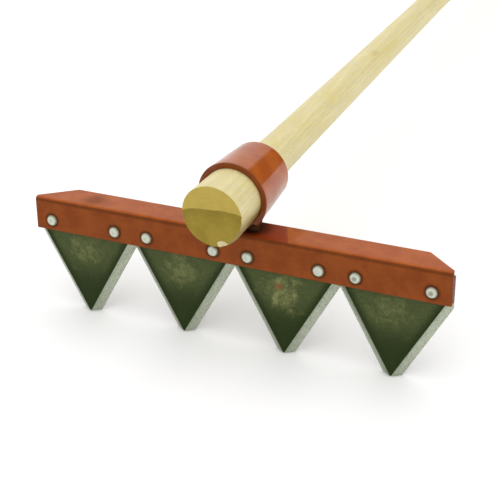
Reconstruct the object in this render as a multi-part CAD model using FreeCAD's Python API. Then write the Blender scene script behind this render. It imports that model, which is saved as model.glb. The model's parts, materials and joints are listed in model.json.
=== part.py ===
import FreeCAD, Part
import math
import os
from FreeCAD import Vector

# Fire rake: a folded angle bar carries four triangular mower sections as teeth,
# a tapered collar is welded on top, and a tapered handle drops through the collar.
#
# The head is drawn in its own axes first: X along the bar, Y back towards the
# user, Z up, with the front of the bar at y = 0 and its top at z = 0. The whole
# rake is then tipped so that it rests on the tooth tips and the handle's rear
# end. The final frame has its origin on the floor, at the middle of the rake's
# length and width.

# angle bar
bar_length = 304.8
leg = 24.0
wall = 3.2
fold_radius = 2.4
inner_radius = 1.6
toe_radius = 0.8
mitre_inset = 22.4

# teeth, counted from the left as seen from the front
tooth_count = 4
tooth_pitch = 76.2
tooth_gap = 0.3
tooth_thickness = 5.0
tooth_top = -5.6
shoulder_z = -28.6
tip_z = -83.8
side_slope = 0.566
bevel_width = 5.4
edge_land = 0.7

# rivets, two in each tooth
rivet_spacing = 50.8
rivet_z = -16.2
shank_radius = 2.4
rivet_clearance = 0.05
head_radius = 4.1
head_height = 2.1
head_rim = 0.35
tail_radius = 3.7
tail_height = 1.7
tail_flat = 2.3
tail_bulge = (3.35, 1.1)
head_crown = (0.62, 0.8)

# collar: stations are measured along its axis from the front of the bar
axis_height = 22.5
axis_rise = 4.8
collar_front = 3.8
collar_length = 43.6
collar_front_radius = 24.9
collar_rear_radius = 21.7
bore_front_radius = 20.85
bore_rear_radius = 18.2
rim_round = 0.7

# handle
handle_length = 1524.0
butt_station = -25.6
butt_radius = 21.6
butt_round = 0.7
seat_clearance = 0.05
seat_end = 36.0
waist = [(47.4, 16.1), (68.0, 14.4), (130.0, 13.6), (280.0, 12.3)]
grip_start = 430.0
grip_radius = 11.1
grip_round = 7.0

# weld beads along both flanks of the collar
weld_start = 5.0
weld_end = 22.6
weld_root = 6.5
weld_reach = 20.4
weld_crest = 16.2
weld_height = 6.4
weld_bulge = 0.9

tooth_front = wall
tooth_back = wall + tooth_thickness
half_bar = bar_length / 2
half_tooth = (tooth_pitch - tooth_gap) / 2
rivet_offset = rivet_spacing / 2
collar_rear = collar_front + collar_length
grip_end = butt_station + handle_length

axis_tilt = math.radians(axis_rise)
axis_point = Vector(0, 0, axis_height)
axis_direction = Vector(0, math.cos(axis_tilt), math.sin(axis_tilt))


def rest_matrix(handle):
    """Matrix that tips the head's axes onto the floor and centres the rake's length."""
    up = Vector(0, -axis_direction.z, axis_direction.y)
    heel = axis_point + axis_direction * (grip_end - grip_round) - up * (grip_radius - grip_round)
    back = heel.y - tooth_back
    rise = heel.z - tip_z
    drop = math.atan2(rise, back) - math.asin(grip_round / math.hypot(rise, back))
    turn = FreeCAD.Matrix()
    turn.rotateX(-drop)
    shift = FreeCAD.Matrix()
    shift.move(Vector(0, -tooth_back, -tip_z))
    rest = turn * shift
    box = handle.transformed(rest, True).optimalBoundingBox()
    rest.move(Vector(0, -(box.YMin + box.YMax) / 2, 0))
    return rest


def on_axis(shape):
    """Move a shape turned about the Y axis onto the collar's axis."""
    place = FreeCAD.Matrix()
    place.rotateX(axis_tilt)
    place.move(axis_point)
    return shape.transformed(place, True)


def turned(edges):
    """Revolve edges drawn as x = radius, y = station about the Y axis."""
    face = Part.Face(Part.Wire(edges))
    return face.revolve(Vector(0, 0, 0), Vector(0, 1, 0), 360)


def line(a, b):
    return Part.LineSegment(Vector(a[0], a[1], 0), Vector(b[0], b[1], 0)).toShape()


def arc(a, b, c):
    return Part.Arc(Vector(a[0], a[1], 0), Vector(b[0], b[1], 0), Vector(c[0], c[1], 0)).toShape()


def round_corner(a, corner, b, size):
    """Two shortened sides of a corner and the round between them."""
    start = Vector(a[0], a[1], 0)
    middle = Vector(corner[0], corner[1], 0)
    end = Vector(b[0], b[1], 0)
    to_start = (start - middle).normalize()
    to_end = (end - middle).normalize()
    half = to_start.getAngle(to_end) / 2
    reach = size / math.tan(half)
    centre = middle + (to_start + to_end).normalize() * (size / math.sin(half))
    first = middle + to_start * reach
    last = middle + to_end * reach
    crown = centre + (middle - centre).normalize() * size
    return first, Part.Arc(first, crown, last).toShape(), last


def rivet_places():
    for tooth in range(tooth_count):
        middle = (tooth - (tooth_count - 1) / 2) * tooth_pitch
        yield middle - rivet_offset
        yield middle + rivet_offset


def rivet_hole(x):
    return Part.makeCylinder(shank_radius + rivet_clearance, tooth_back + 2,
                             Vector(x, -1, rivet_z), Vector(0, 1, 0))


def mitre_wedge(side):
    """Corner cut off one end of the top flange, behind the front flange."""
    over = 1.0
    slant = mitre_inset / (leg - wall)
    low = -2 * wall
    end = side * half_bar
    past = side * (half_bar + over)
    inner = side * (half_bar - slant * (leg - wall + over))
    corner = Part.makePolygon([
        Vector(end, wall, low), Vector(past, wall, low),
        Vector(past, leg + over, low), Vector(inner, leg + over, low),
        Vector(end, wall, low)])
    return Part.Face(corner).extrude(Vector(0, 0, 3 * wall))


def make_bar():
    bar = Part.makeBox(bar_length, leg, leg, Vector(-half_bar, 0, -leg))
    hollow = Part.makeBox(bar_length, leg, leg, Vector(-half_bar, wall, -leg - wall))
    bar = bar.cut(hollow)

    def along(y, z):
        return [e for e in bar.Edges
                if abs(e.CenterOfMass.y - y) < 0.01 and abs(e.CenterOfMass.z - z) < 0.01]

    bar = bar.makeFillet(fold_radius, along(0, 0))
    bar = bar.makeFillet(inner_radius, along(wall, -wall))
    for y, z in ((0, -leg), (wall, -leg), (leg, 0), (leg, -wall)):
        bar = bar.makeFillet(toe_radius, along(y, z))
    for side in (-1, 1):
        bar = bar.cut(mitre_wedge(side))
    for x in rivet_places():
        bar = bar.cut(rivet_hole(x))
    return bar


def half_width(z):
    """Half the tooth's width on its rear face, below the shoulders."""
    return half_tooth + side_slope * (z - shoulder_z)


def make_bevel(side):
    """Wedge that grinds one cutting edge, up to where it runs out."""
    edge = Vector(side * side_slope, 0, 1).normalize()
    outward = Vector(side, 0, -side_slope).normalize()
    low = Vector(side * half_width(tip_z), 0, tip_z) - edge * tooth_pitch
    fall = (tooth_thickness - edge_land) / bevel_width
    out = 3.0
    section = [
        low - outward * (bevel_width + out) + Vector(0, tooth_front - out * fall, 0),
        low + outward * out + Vector(0, tooth_back - edge_land + out * fall, 0),
        low + outward * out + Vector(0, tooth_front - out * fall, 0)]
    wedge = Part.Face(Part.makePolygon(section + section[:1]))
    return wedge.extrude(edge * (3 * tooth_pitch))


def make_tooth(index):
    middle = (index - (tooth_count - 1) / 2) * tooth_pitch
    tip = half_width(tip_z)
    plate = Part.Face(Part.makePolygon([
        Vector(-half_tooth, tooth_front, tooth_top),
        Vector(half_tooth, tooth_front, tooth_top),
        Vector(half_tooth, tooth_front, shoulder_z),
        Vector(tip, tooth_front, tip_z),
        Vector(-tip, tooth_front, tip_z),
        Vector(-half_tooth, tooth_front, shoulder_z),
        Vector(-half_tooth, tooth_front, tooth_top)]))
    tooth = plate.extrude(Vector(0, tooth_thickness, 0))
    for side in (-1, 1):
        tooth = tooth.cut(make_bevel(side))
        tooth = tooth.cut(rivet_hole(side * rivet_offset))
    tooth.translate(Vector(middle, 0, 0))
    return tooth


def make_rivet(x):
    crown = (head_radius * head_crown[0], -head_rim - head_height * head_crown[1])
    tail = tooth_back + tail_height
    edges = [
        line((0, tail), (0, -head_rim - head_height)),
        arc((0, -head_rim - head_height), crown, (head_radius, -head_rim)),
        line((head_radius, -head_rim), (head_radius, 0)),
        line((head_radius, 0), (shank_radius, 0)),
        line((shank_radius, 0), (shank_radius, tooth_back)),
        line((shank_radius, tooth_back), (tail_radius, tooth_back)),
        arc((tail_radius, tooth_back), (tail_bulge[0], tooth_back + tail_bulge[1]), (tail_flat, tail)),
        line((tail_flat, tail), (0, tail))]
    rivet = turned(edges)
    rivet.translate(Vector(x, 0, rivet_z))
    return rivet


def bore_radius(station):
    part = (station - collar_front) / collar_length
    return bore_front_radius + part * (bore_rear_radius - bore_front_radius)


def make_collar():
    corners = [
        (bore_front_radius, collar_front), (collar_front_radius, collar_front),
        (collar_rear_radius, collar_rear), (bore_rear_radius, collar_rear)]
    edges = []
    ends = []
    for i, corner in enumerate(corners):
        first, curve, last = round_corner(corners[i - 1], corner, corners[(i + 1) % 4], rim_round)
        edges.append(curve)
        ends.append((first, last))
    for i in range(4):
        edges.append(Part.LineSegment(ends[i][1], ends[(i + 1) % 4][0]).toShape())
    collar = on_axis(turned(Part.__sortEdges__(edges)))
    # a flat on the underside seats the collar on the bar
    below = Part.makeBox(4 * leg, 4 * leg, leg, Vector(-2 * leg, -leg, -leg))
    return collar.cut(below)


def make_handle():
    seat = bore_radius(seat_end) - seat_clearance
    mouth = bore_front_radius - seat_clearance
    first, butt_curve, last = round_corner((0, butt_station), (butt_radius, butt_station),
                                           (mouth, collar_front), butt_round)
    seat_slope = (bore_rear_radius - bore_front_radius) / collar_length
    waist_curve = Part.BSplineCurve()
    waist_curve.interpolate(
        Points=[Vector(r, s, 0) for s, r in [(seat_end, seat)] + waist + [(grip_start, grip_radius)]],
        InitialTangent=Vector(seat_slope, 1, 0), FinalTangent=Vector(0, 1, 0))
    shoulder = grip_end - grip_round
    bow = grip_round * math.sqrt(0.5)
    edges = [
        line((0, grip_end), (0, butt_station)),
        line((0, butt_station), (first.x, first.y)),
        butt_curve,
        line((last.x, last.y), (mouth, collar_front)),
        line((mouth, collar_front), (seat, seat_end)),
        waist_curve.toShape(),
        line((grip_radius, grip_start), (grip_radius, shoulder)),
        arc((grip_radius, shoulder), (grip_radius - grip_round + bow, shoulder + bow),
            (grip_radius - grip_round, grip_end)),
        line((grip_radius - grip_round, grip_end), (0, grip_end))]
    return on_axis(turned(edges))


def make_weld(side):
    """Fillet bead in the corner between the collar's flank and the bar."""
    root = Vector(side * weld_root, weld_start, 0)
    toe = Vector(side * weld_reach, weld_start, 0)
    crest = Vector(side * weld_crest, weld_start, weld_height)
    middle = (toe + crest) * 0.5 + Vector(side * weld_bulge, 0, 0)
    section = Part.Face(Part.Wire([
        Part.LineSegment(root, toe).toShape(),
        Part.Arc(toe, middle, crest).toShape(),
        Part.LineSegment(crest, root).toShape()]))
    bead = section.extrude(Vector(0, weld_end - weld_start, 0))
    solid_cone = on_axis(turned([
        line((0, collar_front), (collar_front_radius, collar_front)),
        line((collar_front_radius, collar_front), (collar_rear_radius, collar_rear)),
        line((collar_rear_radius, collar_rear), (0, collar_rear)),
        line((0, collar_rear), (0, collar_front))]))
    return bead.cut(solid_cone)


def save(name, shape, rest):
    solids = shape.Solids
    if len(solids) != 1 or not solids[0].isValid():
        raise RuntimeError(name + " is not one valid solid")
    solids[0].transformed(rest, True).exportStep("parts/" + name + ".step")


def main():
    os.makedirs("parts", exist_ok=True)
    handle = make_handle()
    rest = rest_matrix(handle)
    save("head_bar", make_bar(), rest)
    save("handle_collar", make_collar(), rest)
    save("weld_left", make_weld(-1), rest)
    save("weld_right", make_weld(1), rest)
    for index in range(tooth_count):
        save("tooth_" + str(index + 1), make_tooth(index), rest)
    for index, x in enumerate(rivet_places()):
        save("rivet_" + str(index + 1), make_rivet(x), rest)
    save("handle", handle, rest)


main()
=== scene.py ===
import json
import math
import random

import bpy
from mathutils import Euler, Matrix, Vector


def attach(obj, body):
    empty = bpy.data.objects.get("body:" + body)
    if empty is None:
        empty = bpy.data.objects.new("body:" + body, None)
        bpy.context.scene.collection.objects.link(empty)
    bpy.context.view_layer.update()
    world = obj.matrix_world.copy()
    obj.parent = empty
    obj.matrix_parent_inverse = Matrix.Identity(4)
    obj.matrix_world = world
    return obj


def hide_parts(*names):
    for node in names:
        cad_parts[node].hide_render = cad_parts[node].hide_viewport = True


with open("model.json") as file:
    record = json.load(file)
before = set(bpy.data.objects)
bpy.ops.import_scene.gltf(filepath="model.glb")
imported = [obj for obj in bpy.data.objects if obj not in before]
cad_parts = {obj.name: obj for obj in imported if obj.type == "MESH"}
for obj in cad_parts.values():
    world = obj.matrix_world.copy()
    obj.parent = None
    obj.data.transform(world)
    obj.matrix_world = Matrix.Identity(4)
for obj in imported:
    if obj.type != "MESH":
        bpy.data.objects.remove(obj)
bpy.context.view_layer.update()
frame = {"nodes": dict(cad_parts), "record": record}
mm = 0.001
mounts = {mount["name"]: mount for mount in frame["record"]["mounts"]}

# sizes of the head in mm, in its own axes: X along the bar, Y back, Z up,
# zero at the middle of the bar's top front edge
headSet = {
    "halfBar": 152.4,
    "leg": 24.0,            # how far the front hangs down
    "wall": 3.2,
    "restDepth": 15.0,      # where the peg rest lies behind the front
    "axisHeight": 22.5,     # of the handle, over the bar's front edge
    "axisRise": 4.8,        # degrees, up to the rear
    "toothPitch": 76.2,
    "shoulder": -28.6,      # the blades taper below this
    "toothHalf": 37.95,
    "sideSlope": 0.566,
    "bevel": 5.4,
    "bladeBack": 8.2,
    "landFront": 7.5,
    "rivetSide": 25.4,      # rivets lie this far from a tooth's middle
    "rivetUp": -16.2,
    "collarRear": 47.4,     # station of the collar's rear rim, along the handle
}

restNormal = Vector(mounts["peg_rest"]["axis"])
headTilt = math.atan2(-restNormal.y, -restNormal.z)
headTurn = Matrix.Rotation(-headTilt, 4, "X")
restPoint = Vector((0, headSet["restDepth"], -headSet["wall"])) * mm
headZero = Vector(mounts["peg_rest"]["pos_m"]) - headTurn @ restPoint
headMatrix = Matrix.Translation(headZero) @ headTurn

# the handle's own axes: Z along it to the rear, Y down, zero over the bar's front edge
gripAxis = Vector(mounts["handle_grip"]["axis"])
handleTilt = math.atan2(gripAxis.z, gripAxis.y) - math.pi / 2
handleZero = headMatrix @ Vector((0, 0, headSet["axisHeight"] * mm))
handleMatrix = Matrix.Translation(handleZero) @ Matrix.Rotation(handleTilt, 4, "X")
print("frame loaded, head tipped by", round(math.degrees(headTilt), 2), "degrees")


# helpers for modelling

def nothingSelected():
    if bpy.context.object and bpy.context.object.mode != "OBJECT":
        bpy.ops.object.mode_set(mode="OBJECT")
    bpy.ops.object.select_all(action="DESELECT")


def only(piece):
    nothingSelected()
    piece.select_set(True)
    bpy.context.view_layer.objects.active = piece
    return piece


def editing(mode="FACE"):
    bpy.ops.object.mode_set(mode="EDIT")
    bpy.ops.mesh.select_mode(type=mode)


def finished(piece, name, matrix):
    # place the piece, then put its place into its mesh
    only(piece)
    piece.name = name
    piece.data.name = name
    piece.matrix_world = matrix @ piece.matrix_world
    bpy.ops.object.transform_apply(location=True, rotation=True, scale=True)
    return piece


def stepUp(rise, grow):
    # extrude the selected face along Z and scale it about the axis
    bpy.ops.mesh.extrude_region_move(TRANSFORM_OT_translate={"value": (0, 0, rise)})
    bpy.ops.transform.resize(value=(grow, grow, 1), center_override=(0, 0, 0))


def lathe(profile, sides, name):
    # a turned solid from (height, radius) pairs, both in mm
    nothingSelected()
    height, radius = profile[0]
    bpy.ops.mesh.primitive_circle_add(vertices=sides, radius=radius * mm, fill_type="NGON",
                                      location=(0, 0, height * mm))
    piece = bpy.context.object
    bpy.ops.object.transform_apply(location=True, rotation=True, scale=True)
    editing()
    bpy.ops.mesh.select_all(action="SELECT")
    for nextHeight, nextRadius in profile[1:]:
        stepUp((nextHeight - height) * mm, nextRadius / radius)
        height, radius = nextHeight, nextRadius
    bpy.ops.mesh.select_all(action="SELECT")
    bpy.ops.mesh.normals_make_consistent(inside=False)
    bpy.ops.object.mode_set(mode="OBJECT")
    piece.name = name
    return piece


def smooth(piece, angle=35):
    only(piece)
    bpy.ops.object.shade_smooth_by_angle(angle=math.radians(angle))


def applied(piece, kind, **settings):
    only(piece)
    modifier = piece.modifiers.new(kind.lower(), kind)
    for setting, value in settings.items():
        setattr(modifier, setting, value)
    bpy.ops.object.modifier_apply(modifier=modifier.name)


def rounded(height, radius, size, steps, rising):
    # (height, radius) pairs of a quarter round at one end of a turned solid
    pairs = []
    for step in range(steps + 1):
        angle = math.radians(90 * step / steps)
        growing, shrinking = size * (1 - math.cos(angle)), size * (1 - math.sin(angle))
        if rising:
            pairs.append((height + growing, radius - shrinking))
        else:
            pairs.append((height - shrinking, radius - growing))
    return pairs


# helpers for materials

def addNode(tree, kind, **settings):
    node = tree.nodes.new("ShaderNode" + kind)
    count = len(tree.nodes)
    node.location = (240 * (count % 9), -300 * (count // 9))
    for setting, value in settings.items():
        setattr(node, setting, value)
    return node


def feed(tree, socket, value):
    if isinstance(value, bpy.types.NodeSocket):
        tree.links.new(value, socket)
    else:
        socket.default_value = value


def calc(tree, operation, first, second=0.0, clamp=False):
    node = addNode(tree, "Math", operation=operation, use_clamp=clamp)
    feed(tree, node.inputs[0], first)
    feed(tree, node.inputs[1], second)
    return node.outputs[0]


def plus(tree, first, second):
    return calc(tree, "ADD", first, second)


def minus(tree, first, second, clamp=False):
    return calc(tree, "SUBTRACT", first, second, clamp=clamp)


def times(tree, first, second, clamp=False):
    return calc(tree, "MULTIPLY", first, second, clamp=clamp)


def over(tree, first, second):
    return calc(tree, "DIVIDE", first, second)


def most(tree, first, *others):
    # the largest of several values
    for other in others:
        first = calc(tree, "MAXIMUM", first, other)
    return first


def fade(tree, value, low, high, start=0.0, end=1.0):
    node = addNode(tree, "MapRange", interpolation_type="SMOOTHSTEP")
    for socket, given in zip(node.inputs, (value, low, high, start, end)):
        feed(tree, socket, given)
    return node.outputs[0]


def mixed(tree, factor, first, second):
    node = addNode(tree, "Mix", data_type="RGBA")
    feed(tree, node.inputs[0], factor)
    feed(tree, node.inputs[6], first)
    feed(tree, node.inputs[7], second)
    return node.outputs[2]


def noise(tree, place, scale, detail=3.0, roughness=0.5, distortion=0.0):
    node = addNode(tree, "TexNoise")
    feed(tree, node.inputs["Vector"], place)
    feed(tree, node.inputs["Scale"], scale)
    feed(tree, node.inputs["Detail"], detail)
    feed(tree, node.inputs["Roughness"], roughness)
    feed(tree, node.inputs["Distortion"], distortion)
    return node.outputs["Fac"]


def split(tree, vector):
    node = addNode(tree, "SeparateXYZ")
    feed(tree, node.inputs[0], vector)
    return node.outputs[0], node.outputs[1], node.outputs[2]


def joined(tree, x, y, z):
    node = addNode(tree, "CombineXYZ")
    for socket, value in zip(node.inputs, (x, y, z)):
        feed(tree, socket, value)
    return node.outputs[0]


def stretched(tree, place, factors):
    # a place with each of its axes scaled on its own
    axes = zip(split(tree, place), factors)
    return joined(tree, *[times(tree, value, factor) for value, factor in axes])


def reachFrom(tree, first, firstMiddle, second, secondMiddle, size=1.0):
    # distance from a point in a plane, in sizes
    a = over(tree, minus(tree, first, firstMiddle), size)
    b = over(tree, minus(tree, second, secondMiddle), size)
    return calc(tree, "SQRT", plus(tree, times(tree, a, a), times(tree, b, b)))


def bumped(tree, height, strength, distance):
    node = addNode(tree, "Bump")
    feed(tree, node.inputs["Height"], height)
    node.inputs["Strength"].default_value = strength
    node.inputs["Distance"].default_value = distance
    return node.outputs[0]


def newGroup(name, inputs, outputs):
    group = bpy.data.node_groups.new(name, "ShaderNodeTree")
    for title, kind, value in inputs:
        socket = group.interface.new_socket(name=title, in_out="INPUT", socket_type="NodeSocket" + kind)
        if value is not None:
            socket.default_value = value
    for title, kind in outputs:
        group.interface.new_socket(name=title, in_out="OUTPUT", socket_type="NodeSocket" + kind)
    return group, group.nodes.new("NodeGroupInput").outputs, group.nodes.new("NodeGroupOutput").inputs


def placed(tree, group, **values):
    node = tree.nodes.new("ShaderNodeGroup")
    node.node_tree = group
    for title, value in values.items():
        feed(tree, node.inputs[title], value)
    return node.outputs


def newMaterial(name, **settings):
    material = bpy.data.materials.new(name)
    material.use_nodes = True
    shader = material.node_tree.nodes["Principled BSDF"]
    for title, value in settings.items():
        shader.inputs[title.replace("_", " ")].default_value = value
    return material, material.node_tree, shader.inputs


def rgb(red, green, blue):
    return (red, green, blue, 1.0)


def dressNode(node, material):
    piece = frame["nodes"][node]
    piece.data.materials.clear()
    piece.data.materials.append(material)


# groups that several materials share

def makePlaceGroup(name, turn, zero):
    # Object coordinates turned into a part's own axes, in mm
    group, _, out = newGroup(name, [], [("Place", "Vector")])
    coordinates = addNode(group, "TexCoord")
    mapping = addNode(group, "Mapping", vector_type="POINT")
    back = Matrix.Rotation(turn, 3, "X")
    mapping.inputs["Rotation"].default_value = (turn, 0, 0)
    mapping.inputs["Location"].default_value = back @ zero * -1
    group.links.new(coordinates.outputs["Object"], mapping.inputs["Vector"])
    scaled = addNode(group, "VectorMath", operation="SCALE")
    scaled.inputs["Scale"].default_value = 1 / mm
    group.links.new(mapping.outputs[0], scaled.inputs[0])
    group.links.new(scaled.outputs[0], out["Place"])
    return group


def makeToothPlaceGroup():
    # distance from the nearest tooth's middle, the same with its sign, and that tooth's number
    group, given, out = newGroup("toothPlace", [("Across", "Float", 0.0)],
                                 [("From middle", "Float"), ("Side", "Float"), ("Tooth", "Float")])
    pitch = headSet["toothPitch"]
    pitches = over(group, plus(group, given["Across"], 2 * pitch), pitch)
    side = times(group, minus(group, calc(group, "FRACT", pitches), 0.5), pitch)
    feed(group, out["From middle"], calc(group, "ABSOLUTE", side))
    feed(group, out["Side"], side)
    feed(group, out["Tooth"], calc(group, "FLOOR", pitches))
    return group


def makeSteelGroup():
    # scratches and mottling of a steel face; Along and Over set which way the marks run
    group, given, out = newGroup(
        "steelMarks",
        [("Place", "Vector", None), ("Along", "Float", 1.0), ("Over", "Float", 1.0),
         ("Depth", "Float", 0.3)],
        [("Mottle", "Float"), ("Streak", "Float"), ("Normal", "Vector")])
    drawn = stretched(group, given["Place"], (given["Over"], 1.0, given["Along"]))
    streak = noise(group, drawn, 1.0, 4.0, 0.65)
    feed(group, out["Mottle"], noise(group, given["Place"], 0.12, 5.0, 0.62, 0.6))
    feed(group, out["Streak"], streak)
    feed(group, out["Normal"], bumped(group, times(group, streak, given["Depth"]), 0.5, 0.0003))
    return group


headPlace = makePlaceGroup("headPlace", headTilt, headZero)
handlePlace = makePlaceGroup("handlePlace", -handleTilt, handleZero)
toothPlace = makeToothPlaceGroup()
steelMarks = makeSteelGroup()


def rivetRing(tree, across, up):
    # distance from the nearest rivet's middle, on the bar or on a tooth
    middle = placed(tree, toothPlace, Across=across)["From middle"]
    return reachFrom(tree, middle, headSet["rivetSide"], up, headSet["rivetUp"])


# paint

enamelSet = {
    "deep": rgb(0.205, 0.043, 0.005),
    "light": rgb(0.248, 0.057, 0.007),
    "topDeep": rgb(0.330, 0.064, 0.005),    # the top flange and the collar are painted lighter and redder, for the light that falls on them
    "topLight": rgb(0.390, 0.088, 0.007),
    "reflectedRed": rgb(0.235, 0.026, 0.005),   # painted reflection of the collar and handle in the flange
    "collarReflection": 0.85,
    "collarReflectionReach": 42.0,    # how far along the flange the painted reflection reaches
    "collarReflectionSlant": 0.457,
    "patchScale": 0.07,     # blotches of the two tones, per mm
    "brushing": (0.25, 0.5, 0.5),           # the same for the brush drag, along each axis
    "speck": rgb(0.120, 0.022, 0.004),
    "speckScale": 1.1,
    "specks": 0.30,
    # the dark of soil, and of painted shade
    "grimeAndShade": rgb(0.035, 0.014, 0.004),
    "roughness": (0.34, 0.60),              # clean, and under grime and painted shade
    "peelScale": 0.30,      # orange peel in the surface
    "peel": 0.10,
    "under": 0.06,          # gloss under the clear coat
    "coatRoughness": 0.06,
}


def makeEnamelGroup():
    # paint: two close reds in soft patches, brush drag, dust specks, and soil with painted shade
    group, given, out = newGroup(
        "enamelFinish",
        [("Place", "Vector", None), ("Deep", "Color", enamelSet["deep"]),
         ("Light", "Color", enamelSet["light"]), ("Soil", "Float", 0.0)],
        [("Colour", "Color"), ("Roughness", "Float"), ("Normal", "Vector")])
    place = given["Place"]
    patches = noise(group, place, enamelSet["patchScale"], 4.0, 0.55)
    drag = noise(group, stretched(group, place, enamelSet["brushing"]), 1.0, 2.0)
    blend = plus(group, times(group, patches, 0.8), times(group, drag, 0.2))
    colour = mixed(group, fade(group, blend, 0.38, 0.62), given["Deep"], given["Light"])
    fine = noise(group, place, enamelSet["speckScale"], 4.0, 0.6)
    specks = fade(group, fine, 0.55, 0.78, 0.0, enamelSet["specks"])
    colour = mixed(group, specks, colour, enamelSet["speck"])
    # soil and painted shade, as the materials pass them in
    darkened = times(group, given["Soil"], fade(group, fine, 0.2, 0.7, 0.8, 1.0), clamp=True)
    feed(group, out["Colour"], mixed(group, darkened, colour, enamelSet["grimeAndShade"]))
    feed(group, out["Roughness"], fade(group, plus(group, fine, darkened), 0.3, 1.2,
                                       *enamelSet["roughness"]))
    peel = plus(group, noise(group, place, enamelSet["peelScale"], 2.0), times(group, fine, 0.15))
    feed(group, out["Normal"], bumped(group, peel, enamelSet["peel"], 0.0005))
    return group


enamelFinish = makeEnamelGroup()


def makeEnamel(name, soilAndShadeMaker, coatMaker):
    material, tree, shader = newMaterial(name, Specular_IOR_Level=enamelSet["under"],
                                         Coat_Roughness=enamelSet["coatRoughness"])
    place = placed(tree, headPlace)["Place"]
    across, back, up = split(tree, place)
    # painted reflection of the collar and handle on the flange, to the right of the collar
    edge = enamelSet["collarReflectionReach"]
    reach = plus(tree, across, times(tree, back, enamelSet["collarReflectionSlant"]))
    reflected = fade(tree, reach, edge - 0.5, edge + 0.5, enamelSet["collarReflection"], 0.0)
    reflected = times(tree, reflected, fade(tree, across, 0.0, 6.0))
    reflected = times(tree, reflected, fade(tree, up, 0.3, 0.9, 1.0, 0.0))
    topDeep = mixed(tree, reflected, enamelSet["topDeep"], enamelSet["reflectedRed"])
    topLight = mixed(tree, reflected, enamelSet["topLight"], enamelSet["reflectedRed"])
    # the top flange and the collar get the lighter reds, which are painted light
    top = fade(tree, up, -2.0, -0.2)
    # soil and painted shade, from each material's own maker
    soilAndShade = soilAndShadeMaker(tree, place)
    finish = placed(tree, enamelFinish, Place=place, Soil=soilAndShade,
                    Deep=mixed(tree, top, enamelSet["deep"], topDeep),
                    Light=mixed(tree, top, enamelSet["light"], topLight))
    feed(tree, shader["Base Color"], finish["Colour"])
    feed(tree, shader["Roughness"], finish["Roughness"])
    feed(tree, shader["Normal"], finish["Normal"])
    # soil and painted shade take the shine off
    clean = minus(tree, 1.0, soilAndShade, clamp=True)
    feed(tree, shader["Coat Weight"], times(tree, coatMaker(tree, place), clean))
    return material


# how strong each kind of soil and of painted shade is on the bar, and where it lies, in mm
barSet = {
    "waver": 1.6,           # how ragged the soil's edges are
    "foldShade": 0.45,           # painted shade, a dark line along the fold
    "foldShadeHeight": (-3.0, -1.7),
    "rings": 0.75,          # round the rivet heads
    "ringReach": (3.6, 6.3),
    "ends": 0.5,            # grime at the cut ends
    "toe": 0.5,             # and along the lower edge
    "collarShadow": 0.9,           # painted shadow of the collar and handle round the collar's foot
    "collarShadowPlace": (11.0, 12.0, 12.0),       # across, back and size
    "stain": 0.4,           # an old stain near the left end of the top
    "stainPlace": (-110.0, 10.0, 9.0),
    "coat": (0.11, 0.26),   # varnish on the front, and on the top flange
}


def barSoil(tree, place):
    across, back, up = split(tree, place)
    sideways = calc(tree, "ABSOLUTE", across)
    end, toe = headSet["halfBar"], -headSet["leg"]
    waver = times(tree, noise(tree, place, 0.35, 3.0), barSet["waver"])
    foldShade = times(tree, fade(tree, plus(tree, up, waver), *barSet["foldShadeHeight"]),
                 fade(tree, back, 0.2, 1.0, barSet["foldShade"], 0.0))
    reach = minus(tree, rivetRing(tree, across, up), times(tree, waver, 0.5))
    rings = fade(tree, reach, *barSet["ringReach"], barSet["rings"], 0.0)
    ends = fade(tree, sideways, end - 0.7, end, 0.0, barSet["ends"])
    toes = fade(tree, up, toe, toe + 0.8, barSet["toe"], 0.0)
    shadowAcross, shadowBack, shadowSize = barSet["collarShadowPlace"]
    collarShadow = plus(tree, reachFrom(tree, sideways, shadowAcross, back, shadowBack, shadowSize),
                 times(tree, waver, 0.25))
    collarShadow = fade(tree, collarShadow, 0.7, 1.7, barSet["collarShadow"], 0.0)
    stainAcross, stainBack, stainSize = barSet["stainPlace"]
    stain = plus(tree, reachFrom(tree, across, stainAcross, back, stainBack, stainSize),
                 times(tree, waver, 0.5))
    stain = fade(tree, stain, 0.7, 1.9, barSet["stain"], 0.0)
    onTop = times(tree, most(tree, collarShadow, stain), fade(tree, up, -1.5, -0.3))
    return most(tree, foldShade, rings, ends, toes, onTop)


def barCoat(tree, place):
    return fade(tree, split(tree, place)[2], -1.6, -0.2, *barSet["coat"])


collarSet = {
    "mouth": 0.55,          # painted shade in the gap at the front rim
    "mouthShadeReach": (4.1, 5.2),               # stations along the handle
    "foot": (4.0, 12.0),    # the painted shade fades out between these heights over the bar
    "coat": (0.70, 0.95),
}


def collarSoil(tree, place):
    # painted shade in the mouth, and where the collar meets the bar
    station = split(tree, placed(tree, handlePlace)["Place"])[2]
    mouth = fade(tree, station, *collarSet["mouthShadeReach"], collarSet["mouth"], 0.0)
    wavering = plus(tree, split(tree, place)[2], times(tree, noise(tree, place, 0.3, 3.0), 5.0))
    return most(tree, mouth, fade(tree, wavering, *collarSet["foot"], 1.0, 0.0))


def collarCoat(tree, place):
    return fade(tree, noise(tree, place, 0.08, 2.0), 0.3, 0.7, *collarSet["coat"])


# blades

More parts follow.
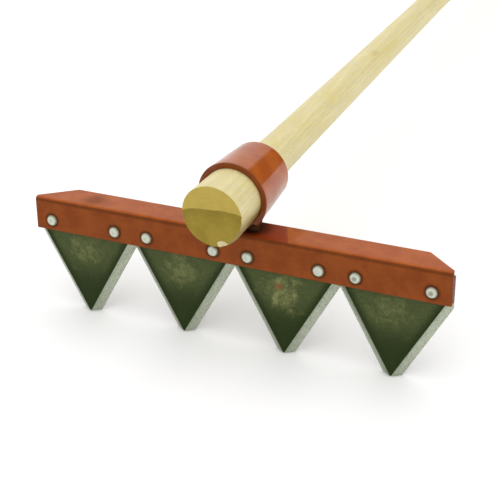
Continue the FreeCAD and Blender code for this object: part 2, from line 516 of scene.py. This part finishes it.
bladeSet = {
    "dark": rgb(0.016, 0.028, 0.004),
    "olive": rgb(0.066, 0.083, 0.028),
    "pale": rgb(0.235, 0.245, 0.090),
    "palePlace": (-2.0, -38.0, 15.0),       # from a tooth's middle, up, and size
    "paleEdge": (1.4, 2.5),                 # in sizes, with the mottling added
    "paleOthers": 0.46,                     # beside the third blade, which is worn the most
    "oliveInside": (8.6, 15.0),             # dark next to the edges
    "oliveUp": (-54.0, -22.0),              # and towards the tip
    "specks": 0.36,
    "rust": rgb(0.210, 0.090, 0.038),
    "rustPlace": (34.3, -34.8, 3.0),        # across, up and size, on the third blade
    "ground": rgb(0.56, 0.60, 0.48),
    "groundDark": rgb(0.22, 0.25, 0.18),
    "innerDark": 0.35,                      # ground edges are darker next to the flat
    "leftShade": (0.10, 0.85),               # the left ones get painted shade, outside and inside
    "tipDark": 0.22,
    "tipUp": (-82.0, -50.0),
    "land": rgb(0.34, 0.35, 0.36),
    "paint": rgb(0.170, 0.034, 0.005),
    "gloss": 0.12,
    "metallic": (0.65, 0.15),               # ground, and under scale
    "groundRoughness": 0.46,
    "scaleRoughness": (0.42, 0.60),
}


def bladeScale(tree, place, tooth, inside, marks):
    # the flat of the blade: dark scale, worn paler and mottled in the upper middle
    across, _, up = split(tree, place)
    side, height, size = bladeSet["palePlace"]
    heart = plus(tree, reachFrom(tree, tooth["Side"], side, up, height, size),
                 times(tree, marks["Mottle"], 2.6))
    edged = plus(tree, inside, times(tree, marks["Streak"], 6.0))
    high = plus(tree, up, times(tree, marks["Mottle"], 24.0))
    shade = times(tree, fade(tree, edged, *bladeSet["oliveInside"]),
                  fade(tree, high, *bladeSet["oliveUp"], 0.1, 1.0))
    scale = mixed(tree, shade, bladeSet["dark"], bladeSet["olive"])
    fromThird = calc(tree, "ABSOLUTE", minus(tree, tooth["Tooth"], 2.0))
    worn = times(tree, fade(tree, heart, *bladeSet["paleEdge"], 1.0, 0.0),
                 fade(tree, fromThird, 0.0, 0.5, 1.0, bladeSet["paleOthers"]))
    cloud = noise(tree, place, 0.22, 4.0, 0.6, 0.5)
    worn = times(tree, worn, fade(tree, cloud, 0.34, 0.66, 0.2, 1.0))
    scale = mixed(tree, worn, scale, bladeSet["pale"])
    specks = fade(tree, noise(tree, place, 0.75, 4.0, 0.65), 0.42, 0.70, 0.0, bladeSet["specks"])
    scale = mixed(tree, specks, scale, bladeSet["dark"])
    rustAcross, rustUp, rustSize = bladeSet["rustPlace"]
    rust = plus(tree, reachFrom(tree, across, rustAcross, up, rustUp, rustSize),
                times(tree, marks["Streak"], 1.2))
    return mixed(tree, fade(tree, rust, 1.0, 1.9, 0.8, 0.0), scale, bladeSet["rust"])


def bladeGround(tree, place, tooth, inside, grinding):
    # the ground edges
    across, back, up = split(tree, place)
    dark = bladeSet["groundDark"]
    ground = mixed(tree, fade(tree, grinding["Streak"], 0.32, 0.66), dark, bladeSet["ground"])
    ground = mixed(tree, fade(tree, inside, 3.4, 5.9, 0.0, bladeSet["innerDark"]), ground, dark)
    # painted shade on the bevel on the left side of each tooth
    left = times(tree, fade(tree, tooth["Side"], -1.0, 1.0, 1.0, 0.0),
                 fade(tree, inside, 1.8, 4.2, *bladeSet["leftShade"]))
    ground = mixed(tree, left, ground, dark)
    land = headSet["landFront"]
    ground = mixed(tree, fade(tree, back, land - 0.1, land + 0.1), ground, bladeSet["land"])
    tip = fade(tree, up, *bladeSet["tipUp"], bladeSet["tipDark"], 0.0)
    ground = mixed(tree, tip, ground, dark)
    # paint that ran over the outer ends, beside the bar
    end, toe = headSet["halfBar"], -headSet["leg"]
    run = times(tree, fade(tree, calc(tree, "ABSOLUTE", across), end - 1.4, end - 0.9),
                fade(tree, up, toe - 0.6, toe + 0.4))
    return mixed(tree, run, ground, bladeSet["paint"])


def makeBladeSteel():
    material, tree, shader = newMaterial("bladeSteel", Specular_IOR_Level=bladeSet["gloss"])
    place = placed(tree, headPlace)["Place"]
    across, back, up = split(tree, place)
    tooth = placed(tree, toothPlace, Across=across)
    middle, slope = tooth["From middle"], headSet["sideSlope"]
    # distance in from the tooth's side, square to it
    width = plus(tree, times(tree, up, slope), headSet["toothHalf"] - slope * headSet["shoulder"])
    inside = over(tree, minus(tree, width, middle), math.sqrt(1 + slope * slope))
    front = fade(tree, back, headSet["wall"] + 0.02, headSet["wall"] + 0.10, 1.0, 0.0)
    rear = fade(tree, back, headSet["bladeBack"] - 0.08, headSet["bladeBack"] - 0.02)
    flat = most(tree, front, rear)
    marks = placed(tree, steelMarks, Place=place, Along=0.8, Over=0.8, Depth=0.5)
    # grinding marks square to the edge, different on each tooth
    alongEdge = plus(tree, times(tree, middle, slope), up)
    acrossEdge = minus(tree, middle, times(tree, up, slope))
    shifted = plus(tree, back, times(tree, tooth["Tooth"], 9.0))
    grinding = placed(tree, steelMarks, Place=joined(tree, alongEdge, shifted, acrossEdge),
                      Along=0.5, Over=2.0, Depth=0.8)
    # the grinding runs on over the shoulders, up to the bar
    pastBevel = fade(tree, inside, headSet["bevel"] - 0.2, headSet["bevel"] + 0.2)
    scaled = most(tree, rear, calc(tree, "MINIMUM", front, pastBevel))
    ground = bladeGround(tree, place, tooth, inside, grinding)
    scale = bladeScale(tree, place, tooth, inside, marks)
    feed(tree, shader["Base Color"], mixed(tree, scaled, ground, scale))
    feed(tree, shader["Metallic"], fade(tree, flat, 0.0, 1.0, *bladeSet["metallic"]))
    roughScale = fade(tree, marks["Mottle"], 0.3, 0.7, *bladeSet["scaleRoughness"])
    roughGround = times(tree, minus(tree, 1.0, flat), bladeSet["groundRoughness"])
    feed(tree, shader["Roughness"], plus(tree, times(tree, flat, roughScale), roughGround))
    normal = addNode(tree, "Mix", data_type="VECTOR")
    feed(tree, normal.inputs[0], flat)
    feed(tree, normal.inputs[4], grinding["Normal"])
    feed(tree, normal.inputs[5], marks["Normal"])
    feed(tree, shader["Normal"], normal.outputs[1])
    return material


# rivets

rivetSet = {
    "count": 8,
    "sides": 40,
    # (height, radius) pairs up from the peened tail to the domed head, in mm
    "profile": [(-9.85, 1.6), (-9.75, 2.5), (-9.1, 3.3), (-8.5, 3.65), (-8.22, 3.7), (-8.2, 2.4),
                (0.0, 2.4), (0.02, 4.05), (0.3, 4.1), (0.75, 3.95), (1.4, 3.35), (1.95, 2.45),
                (2.25, 1.55), (2.32, 1.0), (2.22, 0.65), (2.12, 0.3)],
    "seed": 11,
    "uneven": 0.05,         # mm by which the hammer moved each point
    "squash": 0.96,         # the narrowest that a rivet may be
    "bright": rgb(0.62, 0.66, 0.55),
    "dull": rgb(0.24, 0.24, 0.18),
    "rim": rgb(0.15, 0.125, 0.065),
    "rimReach": (2.9, 4.7),
    "hollowReach": (1.0, 2.5),
    "hollowFrom": 84.0,     # past this, they are almost hollow in the middle
    "metallic": 0.55,
    "roughness": (0.36, 0.52),
}


def makeRivetZinc():
    material, tree, shader = newMaterial("rivetZinc", Metallic=rivetSet["metallic"])
    place = placed(tree, headPlace)["Place"]
    across, _, up = split(tree, place)
    reach = rivetRing(tree, across, up)
    marks = placed(tree, steelMarks, Place=place, Along=1.4, Over=1.4, Depth=1.0)
    rim = fade(tree, plus(tree, reach, marks["Streak"]), *rivetSet["rimReach"], 0.0, 0.95)
    # heads are dull in the middle, most of all on the last blade
    start = rivetSet["hollowFrom"]
    hollow = times(tree, fade(tree, reach, *rivetSet["hollowReach"], 0.85, 0.0),
                   fade(tree, across, start, start + 2.0, 0.3, 0.95))
    dull = most(tree, fade(tree, marks["Streak"], 0.5, 0.72, 0.0, 0.5), hollow)
    zinc = mixed(tree, dull, rivetSet["bright"], rivetSet["dull"])
    feed(tree, shader["Base Color"], mixed(tree, rim, zinc, rivetSet["rim"]))
    feed(tree, shader["Roughness"], fade(tree, marks["Mottle"], 0.3, 0.7, *rivetSet["roughness"]))
    feed(tree, shader["Normal"], marks["Normal"])
    return material


def makeRivets(material):
    pattern = lathe(rivetSet["profile"], rivetSet["sides"], "rivetPattern")
    smooth(pattern, 50)
    chance = random.Random(rivetSet["seed"])
    narrow = rivetSet["squash"]
    for index in range(rivetSet["count"]):
        piece = pattern.copy()
        piece.data = pattern.data.copy()
        bpy.context.collection.objects.link(piece)
        side = -1 if index % 2 == 0 else 1
        across = (index // 2 - 1.5) * headSet["toothPitch"] + side * headSet["rivetSide"]
        only(piece)
        editing("VERT")
        bpy.ops.mesh.select_all(action="SELECT")
        bpy.ops.transform.vertex_random(offset=rivetSet["uneven"] * mm, seed=index)
        bpy.ops.object.mode_set(mode="OBJECT")
        # head to the front, turned and squashed a little differently each time
        spin = Matrix.Rotation(chance.uniform(0, 6.28), 4, "Z")
        turn = Matrix.Rotation(math.radians(90), 4, "X") @ spin
        squash = Matrix.Diagonal((chance.uniform(narrow, 1.0), chance.uniform(narrow, 1.0), 1, 1))
        spot = Matrix.Translation(Vector((across, 0, headSet["rivetUp"])) * mm)
        finished(piece, "solidRivet" + str(index + 1), headMatrix @ spot @ turn @ squash)
        piece.data.materials.append(material)
        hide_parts("rivet_" + str(index + 1))
        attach(piece, "head")
    bpy.data.objects.remove(pattern)
    print("rivets made")


# weld beads

weldSet = {
    "first": 5.6,           # stations along the collar's foot, in mm
    "last": 21.6,
    "ripples": 13,
    "seed": 7,
    "size": 3.3,
    "sizeChange": (0.93, 1.05),
    "shape": (1.0, 0.42, 1.0),
    "lean": 24,             # degrees that each ripple leans back
    "lift": 2.6,
    "proud": 0.7,           # mm that the bead's middle stands off the collar
    "collarFront": 3.8,
    "collarRadius": 24.9,
    "collarTaper": 0.0734,
    "grain": 0.32,
    "soilAndShade": (1.05, 1.30),
    "coat": (0.15, 0.05),
}


# painted shade over the weld beads, which lie under the collar
def weldSoil(tree, place):
    return fade(tree, noise(tree, place, 0.5, 3.0), 0.35, 0.65, *weldSet["soilAndShade"])


def weldCoat(tree, place):
    return fade(tree, noise(tree, place, 0.5, 3.0), 0.35, 0.65, *weldSet["coat"])


def makeWeld(side, node, material):
    ripples = []
    chance = random.Random(weldSet["seed"] + side)
    stretch = weldSet["last"] - weldSet["first"]
    lift = weldSet["lift"]
    for index in range(weldSet["ripples"]):
        back = weldSet["first"] + stretch * index / (weldSet["ripples"] - 1)
        middleUp = headSet["axisHeight"] + back * math.tan(math.radians(headSet["axisRise"]))
        radius = weldSet["collarRadius"] - weldSet["collarTaper"] * (back - weldSet["collarFront"])
        reach = math.sqrt((radius + weldSet["proud"]) ** 2 - (middleUp - lift) ** 2)
        size = weldSet["size"] * chance.uniform(*weldSet["sizeChange"]) * mm
        nothingSelected()
        bpy.ops.mesh.primitive_uv_sphere_add(segments=24, ring_count=14, radius=size,
                                             location=(side * reach * mm, back * mm, lift * mm),
                                             rotation=(math.radians(weldSet["lean"]), 0, 0))
        bpy.context.object.scale = weldSet["shape"]
        ripples.append(bpy.context.object)
    nothingSelected()
    for ripple in ripples:
        ripple.select_set(True)
    piece = ripples[0]
    bpy.context.view_layer.objects.active = piece
    bpy.ops.object.join()
    bpy.ops.object.transform_apply(location=True, rotation=True, scale=True)
    applied(piece, "REMESH", mode="VOXEL", voxel_size=weldSet["grain"] * mm)
    applied(piece, "SMOOTH", factor=0.5, iterations=2)
    finished(piece, "bead_" + node, headMatrix)
    smooth(piece, 60)
    piece.data.materials.append(material)
    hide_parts(node)
    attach(piece, "head")
    print("weld bead made")


# handle

ashSet = {
    "pith": (5.0, 74.0),    # the middle of the tree, under the handle
    "ringStep": 2.6,
    "endShadowReach": 80.0,      # the end is painted in shadow within this of the pith, drawn as heartwood
    # gloss, wax, roughness, bump and pore scale along the grain
    "lengthFinish": (0.35, 0.25, 0.48, 0.35, 0.12),
    "endFinish": (0.20, 0.0, 0.75, 0.50, 2.4),
    "waxRoughness": 0.3,
    "sap": rgb(0.710, 0.635, 0.340),
    "sapStreak": rgb(0.660, 0.565, 0.270),
    "golden": rgb(0.650, 0.540, 0.215), "goldenShare": 0.75,
    "lateRing": rgb(0.520, 0.410, 0.165), "lateShare": 0.22,
    "smudge": rgb(0.560, 0.530, 0.380), "smudgeShare": 0.60,
    "pore": rgb(0.400, 0.310, 0.130), "poreShare": 0.32,
    "knot": (10.4, -12.2, 262.0),           # a small darker eye in the wood
    "knotSize": (8.0, 4.0),
    "knotWood": rgb(0.460, 0.350, 0.095),
    "woodShade": rgb(0.190, 0.120, 0.018),
    "endSap": rgb(0.490, 0.370, 0.080),
    "endSapDark": rgb(0.450, 0.335, 0.068),
    # painted shadow over the lower part of the end, drawn as heartwood
    "endShadow": rgb(0.272, 0.196, 0.022),
    "endShadowPale": rgb(0.325, 0.237, 0.033),
    "endShadowEdge": rgb(0.200, 0.142, 0.016),
    "endRing": rgb(0.300, 0.210, 0.050), "endRingShare": 0.07,
    "endPore": rgb(0.200, 0.140, 0.030), "endPoreShare": 0.30,
    "torn": rgb(0.550, 0.430, 0.170),
    # pale torn wood, which also stands in for a painted highlight on the rim
    "tornPaleHighlight": rgb(0.860, 0.800, 0.550),
}


def ashEndColour(tree, place, radius, ring, pores):
    # pale end grain over a painted shadow drawn as dark heartwood, which is darkest just under its edge
    cloud = fade(tree, noise(tree, place, 0.10, 3.0), 0.35, 0.65)
    sap = mixed(tree, cloud, ashSet["endSap"], ashSet["endSapDark"])
    shadowed = mixed(tree, cloud, ashSet["endShadow"], ashSet["endShadowPale"])
    edge = ashSet["endShadowReach"]
    shadowed = mixed(tree, fade(tree, radius, edge - 9.0, edge, 0.0, 0.45), shadowed, ashSet["endShadowEdge"])
    colour = mixed(tree, fade(tree, radius, edge - 0.5, edge + 0.5, 1.0, 0.0), sap, shadowed)
    colour = mixed(tree, times(tree, ring, ashSet["endRingShare"]), colour, ashSet["endRing"])
    dots = fade(tree, pores, 0.55, 0.75, 0.0, ashSet["endPoreShare"])
    return mixed(tree, dots, colour, ashSet["endPore"])


def ashLengthColour(tree, place, ring, pores):
    x, y, along = split(tree, place)
    streaks = noise(tree, stretched(tree, place, (0.30, 0.30, 0.03)), 1.0, 4.0, 0.6)
    colour = mixed(tree, fade(tree, streaks, 0.32, 0.68), ashSet["sap"], ashSet["sapStreak"])
    colour = mixed(tree, times(tree, ring, ashSet["lateShare"]), colour, ashSet["lateRing"])
    cloud = noise(tree, stretched(tree, place, (0.09, 0.09, 0.02)), 1.0, 3.0)
    golden = fade(tree, cloud, 0.45, 0.68, 0.0, ashSet["goldenShare"])
    colour = mixed(tree, golden, colour, ashSet["golden"])
    smudges = noise(tree, place, 0.20, 5.0, 0.65, 0.8)
    smudges = fade(tree, smudges, 0.50, 0.70, 0.0, ashSet["smudgeShare"])
    colour = mixed(tree, smudges, colour, ashSet["smudge"])
    colour = mixed(tree, fade(tree, pores, 0.52, 0.74, 0.0, ashSet["poreShare"]), colour, ashSet["pore"])
    knotX, knotY, knotAlong = ashSet["knot"]
    knotLong, knotDeep = ashSet["knotSize"]
    knot = reachFrom(tree, x, knotX, along, knotAlong, knotLong)
    deep = over(tree, minus(tree, y, knotY), knotDeep)
    knot = calc(tree, "SQRT", plus(tree, times(tree, knot, knot), times(tree, deep, deep)))
    knot = plus(tree, knot, times(tree, streaks, 0.8))
    colour = mixed(tree, fade(tree, knot, 0.7, 1.7, 0.6, 0.0), colour, ashSet["knotWood"])
    # painted shade underneath in front of the collar, and at and just behind its rear rim
    woodShade = times(tree, fade(tree, y, -3.0, 8.0), fade(tree, along, -24.0, -2.0, 0.75, 1.0))
    woodShade = times(tree, woodShade, fade(tree, along, 6.0, 12.0, 0.95, 0.0))
    rear = headSet["collarRear"]
    ragged = plus(tree, along, times(tree, streaks, 5.0))
    rearRimShade = times(tree, fade(tree, along, rear - 3.0, rear - 2.0),
                   fade(tree, ragged, rear + 1.5, rear + 7.0, 0.9, 0.0))
    return mixed(tree, most(tree, woodShade, rearRimShade), colour, ashSet["woodShade"])


def makeAsh(name, endGrain):
    gloss, wax, roughness, bump, poreScale = ashSet["endFinish" if endGrain else "lengthFinish"]
    material, tree, shader = newMaterial(name, Specular_IOR_Level=gloss, Coat_Weight=wax,
                                         Coat_Roughness=ashSet["waxRoughness"])
    place = placed(tree, handlePlace)["Place"]
    x, y, _ = split(tree, place)
    # growth rings round the pith, wandering slowly along the handle
    wander = noise(tree, stretched(tree, place, (0.05, 0.05, 0.006)), 1.0, 3.0)
    radius = reachFrom(tree, x, ashSet["pith"][0], y, ashSet["pith"][1])
    radius = plus(tree, radius, times(tree, minus(tree, wander, 0.5), 6.0))
    turns = calc(tree, "FRACT", over(tree, radius, ashSet["ringStep"]))
    ring = times(tree, fade(tree, turns, 0.0, 0.75), fade(tree, turns, 0.86, 1.0, 1.0, 0.0))
    # pores: short fine lines on the length, dots on the end
    pores = noise(tree, stretched(tree, place, (2.0, 2.0, poreScale)), 1.0, 3.0, 0.6)
    if endGrain:
        colour = ashEndColour(tree, place, radius, ring, pores)
    else:
        colour = ashLengthColour(tree, place, ring, pores)
    feed(tree, shader["Base Color"], colour)
    feed(tree, shader["Roughness"], plus(tree, times(tree, pores, 0.12), roughness))
    relief = minus(tree, ring, times(tree, pores, 2.0))
    feed(tree, shader["Normal"], bumped(tree, relief, bump, 0.0002))
    return material


def makeChipWood():
    material, tree, shader = newMaterial("ashTornHighlight", Roughness=0.8)
    fibres = noise(tree, placed(tree, handlePlace)["Place"], 1.8, 3.0, 0.7)
    feed(tree, shader["Base Color"], mixed(tree, fade(tree, fibres, 0.35, 0.65), ashSet["torn"],
                                           ashSet["tornPaleHighlight"]))
    feed(tree, shader["Normal"], bumped(tree, fibres, 0.6, 0.0004))
    return material


# the handle's shape in mm: stations lie along it, back from over the bar's front edge
handleSet = {
    "sides": 96,
    "butt": -25.59, "buttRadius": 21.58, "buttRound": 0.7,
    # (station, radius) of the large end and the tapered seat
    "swell": [(-14.0, 21.17), (-3.0, 20.94)],
    "mouth": (3.8, 20.8), "seat": (20.0, 19.84), "seatEnd": (36.0, 18.89),
    # and of the neck, closing on the parallel grip
    "neck": [(47.4, 16.1), (68.0, 14.4), (130.0, 13.6), (280.0, 12.3), (430.0, 11.1)],
    "neckSteps": 5,
    "gripRings": 9, "gripStep": 106.0,
    "end": 1498.39, "endRound": 7.0,
    # where the butt's rim is worn away: degrees from its bottom, and depth
    "worn": [(30, 1.0), (44, 1.7), (58, 1.9), (72, 1.4), (86, 0.8)],
    "wornSlant": 0.55,
    "chipTurn": 19,         # where a chip is torn out of the rim
    "chipReach": 19.9,      # from the axis to the chip's middle
    "chipOut": 1.6,         # and how far past the butt it lies
    "chipSize": 3.9,
    "chipShape": (1.1, 0.72, 1.0),
    "chipRagged": 0.35,
    "waver": 0.22,          # how uneven the shaved surface is
    "waverScale": 0.03,
    "waverFrom": 50, "waverGrow": 60, "waverFade": 20,
}


def neckProfile():
    # smooth curve through the neck's stations
    points = [handleSet["seatEnd"]] + handleSet["neck"]
    pairs = []
    for index in range(len(points) - 1):
        (s0, r0), (s1, r1) = points[index], points[index + 1]
        before = points[index - 1] if index else handleSet["mouth"]
        after = points[index + 2] if index + 2 < len(points) else (s1 + 100, r1)
        if index:
            slope0 = (r1 - before[1]) / (s1 - before[0])
        else:
            slope0 = (r0 - before[1]) / (s0 - before[0])
        slope1 = (after[1] - r0) / (after[0] - s0)
        span = s1 - s0
        for step in range(1, handleSet["neckSteps"] + 1):
            t = step / handleSet["neckSteps"]
            radius = ((2 * t ** 3 - 3 * t ** 2 + 1) * r0 + (t ** 3 - 2 * t ** 2 + t) * span * slope0
                      + (3 * t ** 2 - 2 * t ** 3) * r1 + (t ** 3 - t ** 2) * span * slope1)
            pairs.append((s0 + span * t, radius))
    return pairs


def wearButt(piece):
    # the butt's rim is worn away on one side
    only(piece)
    editing()
    for angle, depth in handleSet["worn"]:
        turn = math.radians(angle)
        outward = Vector((math.sin(turn), math.cos(turn), 0))
        rim = outward * (handleSet["buttRadius"] - depth) + Vector((0, 0, handleSet["butt"]))
        bpy.ops.mesh.select_all(action="SELECT")
        bpy.ops.mesh.bisect(plane_co=rim * mm, plane_no=outward - Vector((0, 0, handleSet["wornSlant"])),
                            clear_outer=True, use_fill=True)
    bpy.ops.object.mode_set(mode="OBJECT")


def tearChip(piece, chipWood):
    # a torn chip out of the rim; its pale wood is also a painted highlight on the rim's edge
    nothingSelected()
    turn = math.radians(handleSet["chipTurn"])
    reach = handleSet["chipReach"] * mm
    bpy.ops.mesh.primitive_ico_sphere_add(
        subdivisions=3, radius=handleSet["chipSize"] * mm,
        location=(math.sin(turn) * reach, math.cos(turn) * reach,
                  (handleSet["butt"] - handleSet["chipOut"]) * mm))
    cutter = bpy.context.object
    cutter.scale = handleSet["chipShape"]
    bpy.ops.object.transform_apply(location=True, rotation=True, scale=True)
    editing("VERT")
    bpy.ops.mesh.select_all(action="SELECT")
    bpy.ops.transform.vertex_random(offset=handleSet["chipRagged"] * mm, seed=4)
    bpy.ops.object.mode_set(mode="OBJECT")
    cutter.data.materials.append(chipWood)
    applied(piece, "BOOLEAN", object=cutter, operation="DIFFERENCE", solver="EXACT",
            material_mode="TRANSFER")
    bpy.data.objects.remove(cutter)


def makeHandle():
    neckEnd, thin = handleSet["neck"][-1]
    profile = rounded(handleSet["butt"], handleSet["buttRadius"], handleSet["buttRound"], 4, True)
    profile += handleSet["swell"] + [handleSet["mouth"], handleSet["seat"], handleSet["seatEnd"]]
    profile += neckProfile()
    for ring in range(handleSet["gripRings"]):
        profile.append((neckEnd + handleSet["gripStep"] * (ring + 1), thin))
    profile += rounded(handleSet["end"], thin, handleSet["endRound"], 7, False)
    piece = lathe(profile, handleSet["sides"], "ashHandle")
    woods = [makeAsh("ashLength", False), makeAsh("ashEnd", True), makeChipWood()]
    for wood in woods:
        piece.data.materials.append(wood)
    # sawn ends get the end grain
    for face in piece.data.polygons:
        if abs(face.normal.z) > 0.7:
            face.material_index = 1
    # uneven, as shaved by hand, outside the collar
    outside = piece.vertex_groups.new(name="outside")
    for vertex in piece.data.vertices:
        station = vertex.co.z / mm
        grow = (station - handleSet["waverFrom"]) / handleSet["waverGrow"]
        shrink = (handleSet["end"] - station) / handleSet["waverFade"]
        outside.add([vertex.index], min(max(grow, 0), 1) * min(max(shrink, 0), 1), "REPLACE")
    ripple = bpy.data.textures.new("shaving", "CLOUDS")
    ripple.noise_scale = handleSet["waverScale"]
    applied(piece, "DISPLACE", texture=ripple, strength=handleSet["waver"] * mm, mid_level=1.0,
            vertex_group="outside")
    wearButt(piece)
    tearChip(piece, woods[2])
    finished(piece, "ashHandle", handleMatrix)
    smooth(piece, 35)
    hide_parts("handle")
    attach(piece, "handle")
    print("handle made,", len(piece.data.polygons), "faces")


# studio

studioSet = {
    "floorSize": 9.0,
    "floorDrop": 0.0003,    # metres under the tooth tips
    "floor": rgb(0.95, 0.95, 0.945),
    "floorPale": rgb(0.965, 0.965, 0.96),
    "sky": 1.0,             # brightness of the white tent
    "gap": 0.06,            # brightness of the opening in its back wall
    "gapWay": (0.42, 0.84, 0.26),
    "gapEdge": (0.915, 0.955),              # where it starts and ends darkening
    # each lamp's place from the head, its size and its power
    "leftLight": ((-1.4, 0.2, 1.0), (1.4, 1.2), 2),
    "rightLight": ((1.5, 0.1, 0.8), (1.2, 1.0), 3),
    "topLight": ((0.0, 0.5, 1.9), (1.8, 1.8), 8),
}


def makeFloor():
    nothingSelected()
    bpy.ops.mesh.primitive_plane_add(size=studioSet["floorSize"],
                                     location=(0, 0, -studioSet["floorDrop"]))
    floor = bpy.context.object
    floor.name = "studioFloor"
    material, tree, shader = newMaterial("studioPaper", Roughness=0.9)
    place = addNode(tree, "TexCoord").outputs["Object"]
    paper = fade(tree, noise(tree, place, 6.0, 2.0), 0.3, 0.7)
    feed(tree, shader["Base Color"], mixed(tree, paper, studioSet["floor"], studioSet["floorPale"]))
    floor.data.materials.append(material)


def softLight(name):
    # a lamp that faces the head
    offset, size, power = studioSet[name]
    data = bpy.data.lights.new(name, "AREA")
    data.shape = "RECTANGLE"
    data.size, data.size_y = size
    data.energy = power
    light = bpy.data.objects.new(name, data)
    bpy.context.collection.objects.link(light)
    light.location = headZero + Vector(offset)
    light.rotation_euler = (-Vector(offset)).to_track_quat("-Z", "Y").to_euler()


def makeStudio():
    # a white tent with a dark opening in its back wall
    world = bpy.data.worlds.new("studioSky")
    world.use_nodes = True
    tree = world.node_tree
    background = tree.nodes["Background"]
    toward = addNode(tree, "VectorMath", operation="DOT_PRODUCT")
    feed(tree, toward.inputs[0], addNode(tree, "TexCoord").outputs["Generated"])
    toward.inputs[1].default_value = Vector(studioSet["gapWay"]).normalized()
    lit = fade(tree, toward.outputs["Value"], *studioSet["gapEdge"], studioSet["sky"], studioSet["gap"])
    seen = addNode(tree, "LightPath").outputs["Is Camera Ray"]
    background.inputs["Color"].default_value = rgb(1.0, 1.0, 1.0)
    feed(tree, background.inputs["Strength"], most(tree, lit, seen))
    bpy.context.scene.world = world
    for name in ("leftLight", "rightLight", "topLight"):
        softLight(name)
    print("studio made")


# the camera stands in front of the right end of the bar, looking down at the head
cameraSet = {
    "place": (0.33418, -0.62655, 0.43081),  # metres from the middle of the bar
    "turn": (57.764, 3.861, 24.639),        # degrees
    "lens": 90.49,
    "sensor": 36,
    "farthest": 50,
}


def makeCamera():
    data = bpy.data.cameras.new("camera")
    data.sensor_width = cameraSet["sensor"]
    data.lens = cameraSet["lens"]
    data.clip_end = cameraSet["farthest"]
    camera = bpy.data.objects.new("camera", data)
    bpy.context.collection.objects.link(camera)
    camera.location = headZero + Vector(cameraSet["place"])
    camera.rotation_euler = Euler([math.radians(angle) for angle in cameraSet["turn"]], "XYZ")
    bpy.context.scene.camera = camera


barEnamel = makeEnamel("barEnamel", barSoil, barCoat)
collarEnamel = makeEnamel("collarEnamel", collarSoil, collarCoat)
weldEnamel = makeEnamel("weldEnamel", weldSoil, weldCoat)
bladeSteel = makeBladeSteel()
dressNode("head_bar", barEnamel)
dressNode("handle_collar", collarEnamel)
for tooth in range(4):
    dressNode("tooth_" + str(tooth + 1), bladeSteel)
makeRivets(makeRivetZinc())
makeWeld(-1, "weld_left", weldEnamel)
makeWeld(1, "weld_right", weldEnamel)
makeHandle()
makeFloor()
makeStudio()
makeCamera()
bpy.context.scene.view_settings.view_transform = "Standard"

print("all pieces made")
